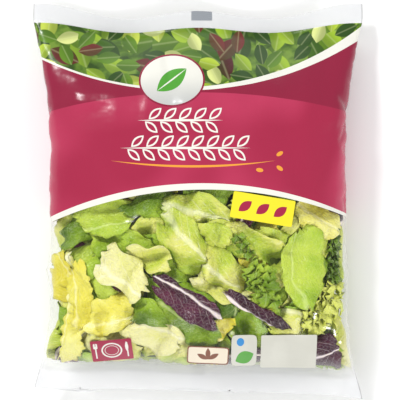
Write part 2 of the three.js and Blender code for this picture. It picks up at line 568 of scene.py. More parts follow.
class Bed:
    """How deep under the film the leaves laid so far reach, over the flat film."""

    CELL = 2 * MM

    def __init__(self, creases):
        self.columns = round(GIRTH / self.CELL)
        self.rows = round(FILM_LENGTH / self.CELL) + 1
        girth = (np.arange(self.columns) + 0.5) * self.CELL - GIRTH / 2
        girth, length = np.meshgrid(girth, np.arange(self.rows) * self.CELL)
        self.depth = film_depth(girth, length, creases) + sizes().leaf_thickness / 3

    def cells(self, girth, length):
        column = np.floor((girth / GIRTH + 0.5) % 1.0 * self.columns).astype(int) % self.columns
        row = np.clip((length / self.CELL).astype(int), 0, self.rows - 1)
        return row, column

    def under(self, girth, length):
        """The least depth at which a new leaf clears those already laid."""
        soft = self.depth
        for axis in (0, 1):
            soft = (np.roll(soft, 2, axis) + np.roll(soft, -2, axis) + 2 * soft) / 4
        cells = self.cells(girth, length)
        return np.maximum(self.depth[cells], soft[cells])

    def add(self, girth, length, depth):
        """Notes a leaf, given as grids of places and depths."""
        fine = [finer(values) for values in (girth, length, depth)]
        row, column = self.cells(fine[0], fine[1])
        np.maximum.at(self.depth, (row, column), fine[2])


def within(depth, room):
    """The depth itself where there is room for it, and ever less where there isn't."""
    return depth / np.cbrt(1 + (depth / np.maximum(room, 0.1 * MM)) ** 3)


def finer(values):
    """A grid with points added between its own."""
    for _ in range(2):
        between = (values[1:] + values[:-1]) / 2
        both = np.empty((len(values) + len(between), values.shape[1]))
        both[0::2] = values
        both[1::2] = between
        values = both.T
    return values


def waves(rng, kind, x, y, amount):
    """Broad waves, a roll and sharp crumples over a leaf, in metres of depth."""
    total = np.zeros_like(x)
    for _ in range(WAVES):
        pitch = rng.uniform(*WAVE_PITCH) * MM
        height = kind.wave / 2 * MM * rng.uniform(0.4, 1)
        total += height * np.sin(2 * math.pi * running(rng, x, y) / pitch + rng.uniform(0, 6.3))
    roll_turn = rng.uniform(0, math.pi)
    roll = rng.uniform(*ROLL)
    rolled = x * math.cos(roll_turn) + y * math.sin(roll_turn)
    tilt = rng.uniform(-TILT, TILT, 2)
    total += tilt[0] * x + tilt[1] * y + roll * rolled**2
    return amount * total + (0.3 + 0.7 * amount) * crumples(rng, kind, x, y)


def crumples(rng, kind, x, y):
    """Sharp folds that cross each other, in metres of depth."""
    total = np.zeros_like(x)
    for _ in range(CRUMPLES):
        pitch = rng.uniform(*CRUMPLE_PITCH) * MM
        fold = np.abs(np.sin(math.pi * running(rng, x, y) / pitch + rng.uniform(0, 3.1)))
        total += kind.crumple / 2 * MM * rng.uniform(-1, 1) * fold
    return total


def running(rng, x, y):
    """Places along a direction drawn at random, which bends a little."""
    turn = rng.uniform(0, math.pi)
    bow = rng.uniform(-7, 7)
    run = x * math.cos(turn) + y * math.sin(turn)
    off = y * math.cos(turn) - x * math.sin(turn)
    return run + bow * off**2


def smooth_grid(values, times):
    for _ in range(times):
        padded = np.pad(values, 1, mode="edge")
        around = padded[:-2, 1:-1] + padded[2:, 1:-1] + padded[1:-1, :-2] + padded[1:-1, 2:]
        values = 0.5 * values + 0.125 * around
    return values


class LaidLeaf:
    """A leaf in its place: its points, and what its material reads."""

    # Greatest taper, slant and curve of an outline, depth of the waves in its ends as a share
    # of its length, and greatest bow of the rib
    TAPER = 0.35
    SLANT = 0.5
    CURVE = 0.15
    END_WAVES = 0.06
    RIB_BOW = 4

    def __init__(self, film, bed, rng, wanted, centre, layer):
        self.kind = wanted.kind
        length, width = wanted.size
        self.columns = max(5, round(width / self.kind.cell / MM))
        self.rows = max(6, round(length / self.kind.cell / MM))
        across, along = np.meshgrid(
            np.linspace(-1, 1, self.columns + 1), np.linspace(-1, 1, self.rows + 1)
        )
        x, y = self.outline(rng, across, along, length, width)
        depth, swing = self.relief(rng, across, along, x, y, wanted.waved)
        x = x + swing
        girth, reach = self.spread(x, y, wanted.turn - math.pi / 2, centre)
        depth = self.sink(bed, girth, reach, depth, layer)
        points, way, room = film.inward(girth, reach)
        self.points = points + way * within(depth, room)[..., None]
        bow = rng.uniform(-self.RIB_BOW, self.RIB_BOW)
        self.vein_x = x - rng.uniform(-self.kind.ribs, self.kind.ribs) * MM - bow * y**2
        self.vein_y = y
        # Painted shade: the deeper the leaf lies, the further its shade moves, painted in for the shade
        # deep in the bag
        deep = np.clip(depth / PAINTED_SHADE_DEPTH, 0, 1)
        self.shade = wanted.shade + PAINTED_DEPTH_SHADE * (deep - 0.2)

    def spread(self, x, y, turn, centre):
        """Places on the flat film of places on the leaf, with the leaf kept off the welds."""
        girth = centre[0] + x * math.cos(turn) - y * math.sin(turn)
        reach = centre[1] + x * math.sin(turn) + y * math.cos(turn)
        short, over = CONTENTS_FROM - reach.min(), reach.max() - CONTENTS_TO
        return girth, reach + max(0.0, short) - max(0.0, over)

    def sink(self, bed, girth, reach, depth, layer):
        """Depth under the film, clear of it and of the leaves laid before."""
        floor = bed.under(girth, reach) + sizes().leaf_gap
        floor = np.maximum(floor, smooth_grid(floor, 3))
        near_fold = np.abs(np.abs((girth + GIRTH / 2) % GIRTH - GIRTH / 2) - FLAT_WIDTH / 2)
        clearance = FILM_CLEARANCE + FOLD_CLEARANCE * np.exp(-((near_fold / FOLD_REACH) ** 2))
        depth = np.maximum(depth - np.quantile(depth, PRESSED_SHARE), 0)
        depth = np.maximum(clearance + depth + layer, floor)
        bed.add(girth, reach, depth + LEAF_BODY)
        return depth

    def outline(self, rng, across, along, length, width):
        """Places on the flat leaf, from its grid's places from -1 to 1."""
        kind = self.kind
        boxy = rng.uniform(*kind.boxy)
        taper = rng.uniform(-self.TAPER, self.TAPER)
        half = width / 2 * (1 - np.abs(0.985 * along) ** boxy) ** (1 / boxy) * (1 + taper * along)
        half = half * (1 + kind.ragged * self.uneven(rng, across, along, 0.7, 2.2))
        teeth = length / (kind.tooth_pitch * MM)
        half = half + kind.tooth / 2 * MM * self.uneven(rng, across, along, 0.7 * teeth, 1.3 * teeth)
        x = across * half
        slant = rng.uniform(-self.SLANT, self.SLANT)
        ends = self.END_WAVES * length * self.uneven(rng, along, across, 0.8, 2.6)
        y = length / 2 * along + slant * x + ends * np.abs(along) ** 3
        return x + rng.uniform(-self.CURVE, self.CURVE) * width * along**2, y

    def uneven(self, rng, side, run, low, high):
        """Waves of about -1 to 1 along run, which differ on the two sides."""
        total = np.zeros_like(run)
        for _ in range(3):
            phase = rng.uniform(0, 2 * math.pi, 2)
            side_phase = np.where(side > 0, phase[0], phase[1])
            total += np.sin(math.pi * rng.uniform(low, high) * run + side_phase) / 2
        return total * np.abs(side)

    def relief(self, rng, across, along, x, y, amount):
        """Depth of the leaf's own waves and frills, and how far the frill swings sideways."""
        kind = self.kind
        depth = waves(rng, kind, x, y, amount)
        phase = rng.uniform(0, 2 * math.pi, 2)
        side_phase = np.where(across > 0, phase[0], phase[1])
        turns = 2 * math.pi * y / (kind.frill_pitch * MM) + side_phase
        uneven = 1 + 0.4 * np.sin(turns * 0.37 + phase[1])
        strength = kind.frill / 2 * MM * np.abs(across) ** 1.5 * uneven * (0.4 + 0.6 * amount)
        return depth + strength * np.sin(turns), 0.5 * strength * np.cos(turns)

    def build(self, bm, place_layer, rib_layer):
        """Adds the leaf to its kind's mesh."""
        verts, across, along = grid_verts(bm, self.columns, self.rows)
        column = np.rint((across + 1) / 2 * self.columns).astype(int)
        row = np.rint((along + 1) / 2 * self.rows).astype(int)
        move_to(verts, self.points[row, column])
        vein_x, vein_y = self.vein_x[row, column], self.vein_y[row, column]
        shade = self.shade[row, column]
        for index, vert in enumerate(verts):
            vert[place_layer] = (vein_x[index], vein_y[index], shade[index])
            vert[rib_layer][0] = 0.4 + 0.6 * math.exp(-((vein_x[index] / (2.5 * MM)) ** 2))


def random_leaf(rng):
    """A leaf for a place drawn later: its kind by weight, its size, turn, shade and waves."""
    kind = KINDS[rng.choice(len(KINDS), p=[kind.weight for kind in KINDS])]
    size = (rng.uniform(*kind.length) * MM, rng.uniform(*kind.width) * MM)
    turn = rng.uniform(0, math.pi)
    shade = rng.uniform(0, 1) ** 1.2
    return Leaf(kind, None, size, turn, shade, rng.uniform(0.7, 1.3))


def leaflets(rng, wanted, centre):
    """A curly leaf as its frilled leaflets, in pairs along its rib, tip first."""
    length, width = wanted.size
    axis = np.array([math.cos(wanted.turn), math.sin(wanted.turn)])
    count = max(2, round(length / LEAFLET_PITCH))
    for step in range(count, -1, -1):
        share = step / count
        middle = np.array(centre) + axis * length * (share - 0.5) * 0.8
        for side in (-1, 1) if step < count else (0,):
            turn = wanted.turn + side * rng.uniform(0.5, 1.1)
            reach = (0.62 - 0.25 * abs(share - 0.4)) * width * rng.uniform(0.8, 1.15)
            away = np.array([math.cos(turn), math.sin(turn)]) * reach * 0.45
            size = (reach, reach * rng.uniform(0.55, 0.8))
            shade = wanted.shade + rng.uniform(-0.12, 0.12)
            yield wanted._replace(size=size, turn=turn, shade=shade), tuple(middle + away)


def lay(film, bed, rng, wanted, centre, layer):
    """Lays one leaf, or every leaflet of a curly one."""
    if wanted.kind is not CURLY:
        return [LaidLeaf(film, bed, rng, wanted, centre, layer)]
    return [
        LaidLeaf(film, bed, rng, part, place, layer)
        for part, place in leaflets(rng, wanted, centre)
    ]


def lay_leaves(film):
    """Lays every leaf, the shown ones first, and returns them."""
    rng = np.random.default_rng(SEED)
    bed = Bed(bag["creases"])
    laid = []
    for wanted in SHOWN:
        laid += lay(film, bed, rng, wanted, film.place_of(*wanted.at), 0.0)
    spans = (
        (sizes().leaves_in_sight, CONTENTS_FROM, PRINT_FROM),
        (sizes().leaves_behind_print, PRINT_FROM, CONTENTS_TO - END_ROOM),
    )
    for count, low, high in spans:
        for index in range(count):
            centre = (rng.uniform(-GIRTH / 2, GIRTH / 2), rng.uniform(low, high))
            layer = LAYERS_DEPTH * index / count
            laid += lay(film, bed, rng, random_leaf(rng), centre, layer)
    return laid


# Materials

# What nodes of these kinds are set to unless they are told otherwise
USUAL_SETTINGS = {
    "Mix": {"data_type": "RGBA"},
    "MapRange": {"interpolation_type": "SMOOTHSTEP"},
}


def add(tree, kind, *values, inputs=None, **settings):
    """A new node with its settings. Its inputs, in order or by name, are set to values or
    linked to the nodes or sockets given."""
    node = tree.nodes.new("ShaderNode" + kind)
    for name, value in {**USUAL_SETTINGS.get(kind, {}), **settings}.items():
        setattr(node, name, value)
    in_use = [socket for socket in node.inputs if socket.enabled]
    named = [(node.inputs[name], value) for name, value in (inputs or {}).items()]
    for socket, value in [*zip(in_use, values), *named]:
        if isinstance(value, bpy.types.Node):
            value = next(output for output in value.outputs if output.enabled)
        if isinstance(value, bpy.types.NodeSocket):
            tree.links.new(value, socket)
        else:
            socket.default_value = value
    return node


def with_stops(ramp, stops):
    """The colour ramp, given its colours and where they lie from 0 to 1."""
    elements = ramp.color_ramp.elements
    for _ in stops[2:]:
        elements.new(0.5)
    for element, (position, colour) in zip(elements, stops):
        element.position = position
        element.color = (*linear(colour), 1)
    return ramp


def new_material(name):
    material = bpy.data.materials.new(name)
    material.use_nodes = True
    material.node_tree.nodes.clear()
    return material, material.node_tree


LeafLook = namedtuple("LeafLook", "name blade rib rib_breadth rib_share vein_share roughness")

# Each leaf's blade colours by shade, its rib's colour, breadth in millimetres and strength, how
# plain its side veins are, and its gloss
LOOKS = {
    "pale_leaves": LeafLook(
        "iceberg blade",
        ((0.0, "#e8e4a0"), (0.35, "#d9da6e"), (0.65, "#bccc46"), (1.0, "#86a81e")),
        "#f8f6da", 5.0, 0.5, 0.42, 0.3,
    ),
    "green_leaves": LeafLook(
        "escarole blade",
        ((0.0, "#46660a"), (0.35, "#749418"), (0.65, "#a0be30"), (1.0, "#bcd04a")),
        "#e6f0a8", 2.2, 0.36, 0.36, 0.3,
    ),
    "heart_leaves": LeafLook(
        "blanched escarole heart",
        ((0.0, "#ebe68c"), (0.4, "#e6de62"), (0.7, "#e2d84c"), (1.0, "#d8cc3a")),
        "#fbf8d0", 3.4, 0.4, 0.34, 0.32,
    ),
    "curly_leaves": LeafLook(
        "frisee blade",
        ((0.0, "#4e6c0e"), (0.35, "#789a1c"), (0.70, "#aec63a"), (1.0, "#d8de6c")),
        "#e4edb4", 0.8, 0.22, 0.2, 0.34,
    ),
    "red_leaves": LeafLook(
        "radicchio blade",
        ((0.0, "#260a1a"), (0.5, "#44142c"), (1.0, "#6c2a48")),
        "#f4e6e2", 2.6, 0.95, 0.4, 0.26,
    ),
}


class Blade:
    """The nodes from which a leaf's veins, colour and relief are worked out."""

    # How far the rib swerves, how far the side veins waver, their pitch, how steeply they leave
    # the rib, and how far from it they grow faint
    SWERVE = 9 * MM
    WAVER = 26 * MM
    VEIN_PITCH = 5 * MM
    VEIN_LEAN = 1.5
    VEIN_REACH = 18 * MM

    # Size of the net's cells, how far they are stirred, and how much longer than wide they are
    NET_PITCH = 2.6 * MM
    NET_STIR = 2 * MM
    NET_STRETCH = 0.65

    # Half the length over which a rib narrows, and its slimness at its foot and its tip
    RIB_SPAN = 32 * MM
    RIB_TAPER = (0.6, 2.4)

    def __init__(self, tree, look):
        self.tree = tree
        self.look = look
        self.place = add(
            tree, "Attribute", attribute_name="leaf_place", attribute_type="GEOMETRY"
        ).outputs["Vector"]
        self.parts = add(tree, "SeparateXYZ", self.place)
        object_place = add(tree, "TexCoord").outputs["Object"]
        self.cloud = add(tree, "TexNoise", object_place, inputs={"Scale": 1 / (22 * MM), "Detail": 3.0})
        self.crinkle = add(
            tree, "TexNoise", object_place, inputs={"Scale": 1 / (4.5 * MM), "Detail": 3.0}
        )
        self.net = self.fine_net()
        swerve = add(tree, "Math", self.cloud, self.SWERVE, -self.SWERVE / 2, operation="MULTIPLY_ADD")
        swerved = add(tree, "Math", self.parts, swerve, operation="ADD")
        self.across = add(tree, "Math", swerved, operation="ABSOLUTE")
        self.pale = add(tree, "Math", self.veins(), self.rib(), operation="MAXIMUM", use_clamp=True)

    def fine_net(self):
        """The distance from the lines of the net between the veins."""
        stretch = (1, self.NET_STRETCH, 1)
        drawn_out = add(self.tree, "VectorMath", self.place, stretch, operation="MULTIPLY")
        stirred = add(
            self.tree, "VectorMath", self.crinkle.outputs["Color"], (self.NET_STIR,) * 3, drawn_out,
            operation="MULTIPLY_ADD",
        )
        return add(
            self.tree, "TexVoronoi", stirred, inputs={"Scale": 1 / self.NET_PITCH},
            feature="DISTANCE_TO_EDGE", voronoi_dimensions="2D",
        )

    def veins(self):
        """Side veins that branch off the rib, and the fine net between them."""
        tree, share = self.tree, self.look.vein_share
        bent = add(
            tree, "Math", self.across, self.VEIN_LEAN, self.parts.outputs["Y"], operation="MULTIPLY_ADD"
        )
        wavy = add(tree, "Math", self.cloud, self.WAVER, bent, operation="MULTIPLY_ADD")
        pitch = add(tree, "Math", wavy, self.VEIN_PITCH, operation="PINGPONG")
        line = add(tree, "MapRange", pitch, 0.0, 0.35 * self.look.rib_breadth * MM, 1.0, 0.0)
        broken = add(tree, "MapRange", self.crinkle, 0.35, 0.6, 0.0, share)
        near_rib = add(tree, "MapRange", self.across, 0.0, self.VEIN_REACH, 1.0, 0.25)
        strength = add(tree, "Math", broken, near_rib, operation="MULTIPLY")
        side_vein = add(tree, "Math", line, strength, operation="MULTIPLY")
        fine_vein = add(tree, "MapRange", self.net, 0.0, 0.12, 0.25 * share, 0.0)
        return add(tree, "Math", side_vein, fine_vein, operation="MAXIMUM")

    def rib(self):
        """The pale rib, which narrows towards the tip."""
        breadth = self.look.rib_breadth * MM
        y = self.parts.outputs["Y"]
        taper = add(
            self.tree, "MapRange", y, -self.RIB_SPAN, self.RIB_SPAN, *self.RIB_TAPER,
            interpolation_type="LINEAR",
        )
        slimmed = add(self.tree, "Math", self.across, taper, operation="MULTIPLY")
        return add(self.tree, "MapRange", slimmed, 0.2 * breadth, breadth, self.look.rib_share, 0.0)

    def colour(self):
        """The blade's colour by its shade, and over it the rib and veins."""
        tree = self.tree
        mottled = add(tree, "Math", self.crinkle, 0.35, -0.85, operation="MULTIPLY_ADD")
        drift = add(tree, "Math", self.cloud, 1.2, mottled, operation="MULTIPLY_ADD")
        outward = add(tree, "Math", self.across, 1 / (90 * MM), drift, operation="MULTIPLY_ADD")
        # Z is the leaf's own shade with the painted depth shade added when the leaf was laid
        shade = add(tree, "Math", self.parts.outputs["Z"], outward, operation="ADD", use_clamp=True)
        blade = with_stops(add(tree, "ValToRGB", shade), self.look.blade)
        return add(tree, "Mix", self.pale, blade, (*linear(self.look.rib), 1))

    def relief(self):
        """Crinkles, blisters between the lines of the net, and veins sunk between them."""
        blisters = add(self.tree, "MapRange", self.net, 0.0, 0.4, 0.0, 0.16)
        swollen = add(self.tree, "Math", self.crinkle, blisters, operation="ADD")
        sunk = add(self.tree, "Math", swollen, self.pale, operation="SUBTRACT")
        return add(self.tree, "Bump", inputs={"Height": sunk, "Strength": 0.85, "Distance": 1.4 * MM})


def leaf_material(look):
    """Fresh leaf: a wet satin skin over soft tissue, with a pale rib, branching veins and the
    fine net between them, so that light catches its crinkles and glows a little through it."""
    material, tree = new_material(look.name)
    blade = Blade(tree, look)
    skin = add(
        tree, "BsdfPrincipled",
        inputs={
            "Base Color": blade.colour(), "Roughness": look.roughness, "IOR": 1.42,
            "Normal": blade.relief(), "Specular IOR Level": 0.4, "Subsurface Weight": 0.25,
            "Subsurface Radius": (1.0, 1.0, 0.25), "Subsurface Scale": 1.0 * MM,
        },
    )
    add(tree, "OutputMaterial", skin)
    return material


def core_material():
    """Packed leaf with painted shade: mottled greens painted dark for the shade deep in the bag, and a
    painted shade darker still in the hollows.
    """
    material, tree = new_material("packed leaf")
    place = add(tree, "TexCoord").outputs["Object"]
    cloud = add(
        tree, "TexNoise", place, inputs={"Scale": 1 / (16 * MM), "Detail": 4.0, "Roughness": 0.6}
    )
    folds = add(tree, "TexVoronoi", place, inputs={"Scale": 1 / (11 * MM)}, feature="SMOOTH_F1")
    # Painted shade: these greens are kept dark for the shade that falls deep in the bag
    greens = ((0.3, "#2c3a0c"), (0.45, "#4a5c18"), (0.6, "#71822c"), (0.75, "#9aa24c"))
    # Painted shade in the hollows: the darkest green is mixed in where the folds sink
    hollow = add(tree, "MapRange", folds, 0.25, 0.75, 0.0, 0.6)
    mixed = with_stops(add(tree, "ValToRGB", cloud), greens)
    colour = add(tree, "Mix", hollow, mixed, (*linear("#222c0a"), 1))
    bump = add(tree, "Bump", inputs={"Height": folds, "Strength": 0.6, "Distance": 3 * MM})
    skin = add(tree, "BsdfPrincipled", inputs={"Base Color": colour, "Roughness": 0.5, "Normal": bump})
    add(tree, "OutputMaterial", skin)
    return material


# The print, in millimetres over the front: +X right, +Y up, from the middle of the bag


class Print:
    """Ink laid on the film, layer on layer: its colour, and where the film is covered."""

    def __init__(self, tree):
        self.tree = tree
        self.place = add(tree, "TexCoord").outputs["Object"]
        flat = add(tree, "SeparateXYZ", add(tree, "UVMap", uv_map="flat_film"))
        from_middle = add(tree, "Math", flat, 0.5, operation="SUBTRACT")
        aside = add(tree, "Math", from_middle, operation="ABSOLUTE")
        self.fold_share = add(tree, "Math", aside, 4.0, operation="MULTIPLY")
        self.front = add(tree, "Math", aside, 0.25, operation="LESS_THAN")
        self.length = add(tree, "Math", flat.outputs["Y"], FILM_LENGTH, operation="MULTIPLY")
        self.colour = ink("white_ink")
        self.cover = 0.0

    def lay(self, mask, colour):
        self.colour = add(self.tree, "Mix", mask, self.colour, colour)
        self.cover = add(self.tree, "Math", self.cover, mask, operation="MAXIMUM")

    def lay_shapes(self, shapes):
        """Lays shapes in their order, each given as its form, its place and its ink."""
        for form, place, name in shapes:
            self.lay(form(self, *place), ink(name))

    def both(self, first, second):
        return add(self.tree, "Math", first, second, operation="MULTIPLY")

    def without(self, first, second):
        return add(self.tree, "Math", first, second, operation="SUBTRACT", use_clamp=True)

    def local(self, x, y, width, height, turn=0.0):
        """Places from -1 to 1 over a box on the print."""
        return add(
            self.tree, "Mapping", self.place, (x * MM, y * MM, 0), (0, 0, math.radians(turn)),
            (width / 2 * MM, height / 2 * MM, 1000), vector_type="TEXTURE",
        )

    def disc(self, x, y, radius):
        """Inside a circle that reaches round the bag, front and back."""
        away = add(
            self.tree, "VectorMath", self.local(x, y, 2 * radius, 2 * radius), operation="LENGTH"
        )
        return add(self.tree, "Math", away.outputs["Value"], 1.0, operation="LESS_THAN")

    def panel(self, x, y, width, height, turn=0.0, roundness=30.0):
        """A shape on the front, from an ellipse at roundness 2 to a plain box at 30."""
        sides = add(
            self.tree, "VectorMath", self.local(x, y, width, height, turn), operation="ABSOLUTE"
        )
        parts = add(self.tree, "SeparateXYZ", sides)
        wide = add(self.tree, "Math", parts, roundness, operation="POWER")
        tall = add(self.tree, "Math", parts.outputs["Y"], roundness, operation="POWER")
        total = add(self.tree, "Math", wide, tall, operation="ADD")
        return self.both(add(self.tree, "Math", total, 1.0, operation="LESS_THAN"), self.front)

    def pointed(self, x, y, length, breadth, turn=0.0, size=1.0):
        """A plain leaf shape on the front, pointed at both ends."""
        parts = add(self.tree, "SeparateXYZ", self.local(x, y, length, breadth, turn))
        tall = add(self.tree, "Math", parts.outputs["Y"], operation="ABSOLUTE")
        total = add(self.tree, "Math", parts, parts, tall, operation="MULTIPLY_ADD")
        return self.both(add(self.tree, "Math", total, size, operation="LESS_THAN"), self.front)


# Circles that bound the printed fields: their middle's x and y, and radius
PICTURE_EDGE = (-17, 334, 243)
BAND_TOP = (-12, 348, 259.5)
LIGHT_FIELD_TOP = (0, -417, 504)
BAND_BOTTOM = (3.5, -278, 292.5)
WHITE_BOTTOM = (6, -299, 308.5)

# Under the top weld the print ends in a line that bows and ripples less than the film does
TOP_PRINT_LINE = FILM_LENGTH - 13.3 * MM
TOP_LINE_BOW = 2.4 * MM
TOP_LINE_RIPPLE = 1.3 * MM
RIPPLE_LENGTH = 123 * MM

# The plain repeat of leaves: pitch in millimetres, shift, and the leaves' colours
LEAFY_LAYERS = (
    (27, 0.0, ("#5a7c1c", "#2f4a16", "#7c9a2c", "#4a1a1c")),
    (22, 0.31, ("#94b430", "#5e2220", "#3f621a", "#bccc50", "#6e9024")),
    (17, 0.57, ("#acc43c", "#5c8222", "#d6de8c", "#6c2a26", "#2c4a18", "#96b432")),
)


def leafy_pattern(print_):
    """A plain repeat of pointed leaves in mixed greens and reds, each with its midrib."""
    cloud = add(print_.tree, "TexNoise", print_.place, inputs={"Scale": 1 / (12 * MM), "Detail": 2.0})
    greens = ((0.35, "#304a18"), (0.5, "#4c6c22"), (0.65, "#6e8c34"))
    colour = with_stops(add(print_.tree, "ValToRGB", cloud), greens)
    for pitch, shift, shades in LEAFY_LAYERS:
        colour = leafy_layer(print_, colour, pitch, shift, shades)
    return colour


def leafy_layer(print_, below, pitch, shift, shades):
    """One layer of the leafy repeat: a leaf in each cell, turned and coloured by chance."""
    tree = print_.tree
    moved = add(tree, "VectorMath", print_.place, (shift, shift, 0), operation="ADD")
    cells = add(
        tree, "TexVoronoi", moved, inputs={"Scale": 1 / (pitch * MM), "Randomness": 0.8},
        voronoi_dimensions="2D",
    )
    pick = add(tree, "SeparateXYZ", cells.outputs["Color"])
    away = add(tree, "VectorMath", moved, cells.outputs["Position"], operation="SUBTRACT")
    turn = add(tree, "Math", pick.outputs["Y"], 2 * math.pi, operation="MULTIPLY")
    turned = add(tree, "VectorRotate", away, inputs={"Angle": turn}, rotation_type="Z_AXIS")
    size = (0.62 * pitch * MM, 0.34 * pitch * MM, 1)
    parts = add(tree, "SeparateXYZ", add(tree, "VectorMath", turned, size, operation="DIVIDE"))
    tall = add(tree, "Math", parts.outputs["Y"], operation="ABSOLUTE")
    total = add(tree, "Math", parts, parts, tall, operation="MULTIPLY_ADD")
    inside = add(tree, "MapRange", total, 0.86, 1.0, 1.0, 0.0)
    stops = [(index / len(shades), shade) for index, shade in enumerate(shades)]
    plain = with_stops(add(tree, "ValToRGB", pick), stops)
    plain.color_ramp.interpolation = "CONSTANT"
    dark_side = add(tree, "MapRange", parts.outputs["Y"], -0.6, 0.7, 0.5, 0.0)
    shaded = add(tree, "Mix", dark_side, plain, (*linear("#2e4a1c"), 1))
    midrib = add(tree, "MapRange", tall, 0.0, 0.16, 0.16, 0.0)
    veined = add(tree, "Mix", midrib, shaded, (*linear("#dfe8ac"), 1))
    return add(tree, "Mix", inside, below, veined)


def top_place(print_):
    """Length along the film, changed so that it is even along the print's top line."""
    tree = print_.tree
    across = add(tree, "SeparateXYZ", print_.local(0, 0, FLAT_WIDTH / MM, 1))
    bow = add(tree, "Math", across, across, operation="MULTIPLY")
    turns = add(tree, "Math", across, math.pi * FLAT_WIDTH / RIPPLE_LENGTH, operation="MULTIPLY")
    bowed = add(tree, "Math", bow, TOP_LINE_BOW, print_.length, operation="MULTIPLY_ADD")
    ripple = add(tree, "Math", turns, operation="COSINE")
    return add(tree, "Math", ripple, TOP_LINE_RIPPLE, bowed, operation="MULTIPLY_ADD")


def printed_fields(print_):
    """The large fields of the print: leafy pattern, white arcs and the crimson band."""
    tree = print_.tree
    below_line = add(tree, "Math", top_place(print_), TOP_PRINT_LINE, operation="LESS_THAN")
    above_white = print_.disc(*WHITE_BOTTOM)
    upper = add(tree, "SeparateXYZ", print_.place).outputs["Y"]
    upper_half = add(tree, "Math", upper, -30 * MM, operation="GREATER_THAN")
    printed = print_.both(print_.without(upper_half, above_white), below_line)
    print_.lay(printed, ink("white_ink"))
    below_arc = print_.without(printed, print_.disc(*BAND_BOTTOM))
    crimson = print_.without(below_arc, print_.disc(*BAND_TOP))
    print_.lay(crimson, ink("band_shade"))
    cloud = add(tree, "TexNoise", print_.place, inputs={"Scale": 1 / (70 * MM), "Detail": 1.0})
    tone = add(tree, "MapRange", cloud, 0.35, 0.65)
    light = print_.both(crimson, print_.disc(*LIGHT_FIELD_TOP))
    print_.lay(light, add(tree, "Mix", tone, ink("band"), ink("band_light")))
    in_picture = print_.both(printed, print_.disc(*PICTURE_EDGE))
    print_.colour = add(tree, "Mix", in_picture, print_.colour, leafy_pattern(print_))


BADGE = (-21, 97.3)


def printed_badge(print_):
    """The oval badge on the band's upper edge, with a plain leaf in place of a sign."""
    tree = print_.tree
    height = add(tree, "SeparateXYZ", print_.local(*BADGE, 50, 41)).outputs["Y"]
    dusk = add(tree, "MapRange", height, -1.0, 0.4, 0.55, 0.0)
    silver = add(tree, "Mix", dusk, ink("white_ink"), ink("mark_ink"))
    print_.lay(print_.panel(*BADGE, 53, 44, 0, 2), ink("band_shade"))
    print_.lay(print_.panel(*BADGE, 50, 41, 0, 2), silver)
    print_.lay(print_.pointed(*BADGE, 30, 15, 38), ink("leaf_ink"))
    print_.lay(print_.pointed(*BADGE, 30, 1.2, 38), ink("white_ink"))


# Sprigs of the ornament: where the stem starts, its height on the print, and its leaf pairs
SPRIGS = ((-44, 64.5, 5), (-58, 42.5, 8))
SPRIG_PITCH = 12

# Circles between which the gold arc lies, and its seeds: their middle and turn
GOLD_ARC = ((-4, 417, 390), (-4, 603.8, 575))
SEEDS = ((65, 38, 30), (49, 25, -8), (65, 26.5, -35))


def printed_ornament(print_):
    """Two white sprigs, the gold arc under them and three seeds."""
    for start, height, pairs in SPRIGS:
        run = SPRIG_PITCH * pairs
        print_.lay(print_.pointed(start + run / 2, height, run + 8, 1.8), ink("white_ink"))
        for index in range(pairs):
            x = start + SPRIG_PITCH * (index + 0.7)
            for side in (-1, 1):
                place = (x + 1.5 * side, height + side * 5.4, 13.5, 6.4, side * 42)
                hollow = print_.pointed(*place, 0.55)
                print_.lay(print_.without(print_.pointed(*place), hollow), ink("white_ink"))
    inner, outer = (print_.disc(*circle) for circle in GOLD_ARC)
    print_.lay(print_.both(print_.without(inner, outer), print_.front), ink("gold_ink"))
    print_.lay_shapes((Print.panel, (x, y, 5.8, 3.2, turn, 2), "gold_ink") for x, y, turn in SEEDS)


# The crimson tag with a plate between a fork and a knife
SIGN = (-69.5, -120)
SIGN_TURN = 5.5
TABLE_SIGN = (
    (Print.panel, (*SIGN, 33.5, 18, SIGN_TURN), "band"),
    (Print.panel, (*SIGN, 17, 13, SIGN_TURN, 2), "white_ink"),
    (Print.panel, (*SIGN, 14.5, 10.8, SIGN_TURN, 2), "band"),
    (Print.panel, (*SIGN, 11.5, 8.4, SIGN_TURN, 2), "white_ink"),
    (Print.panel, (*SIGN, 10.6, 7.6, SIGN_TURN, 2), "band"),
    (Print.panel, (-82.4, -121.4, 1.1, 12.5, SIGN_TURN), "white_ink"),
    (Print.panel, (-82.9, -117, 3.4, 4.6, SIGN_TURN, 5), "white_ink"),
    (Print.panel, (-83, -115.7, 0.6, 2.6, SIGN_TURN), "band"),
    (Print.panel, (-56.8, -119, 1.1, 12.5, SIGN_TURN), "white_ink"),
    (Print.pointed, (-57.4, -116.5, 9, 2.6, 95.5), "white_ink"),
)


def tag_leaves():
    """Three plain leaves along the tilted tag."""
    for offset in (-14, 0, 14):
        yield Print.pointed, (51.5 + offset, -6 - 0.165 * offset, 13, 7, 35), "band"


def fan_leaves():
    """Three leaves that fan out on the small framed label."""
    for turn in (30, 90, 150):
        lean = math.radians(turn)
        x, y = 8 + 5 * math.cos(lean), -127.5 + 5 * math.sin(lean)
        yield Print.pointed, (x, y, 10, 4, turn), "brown_ink"


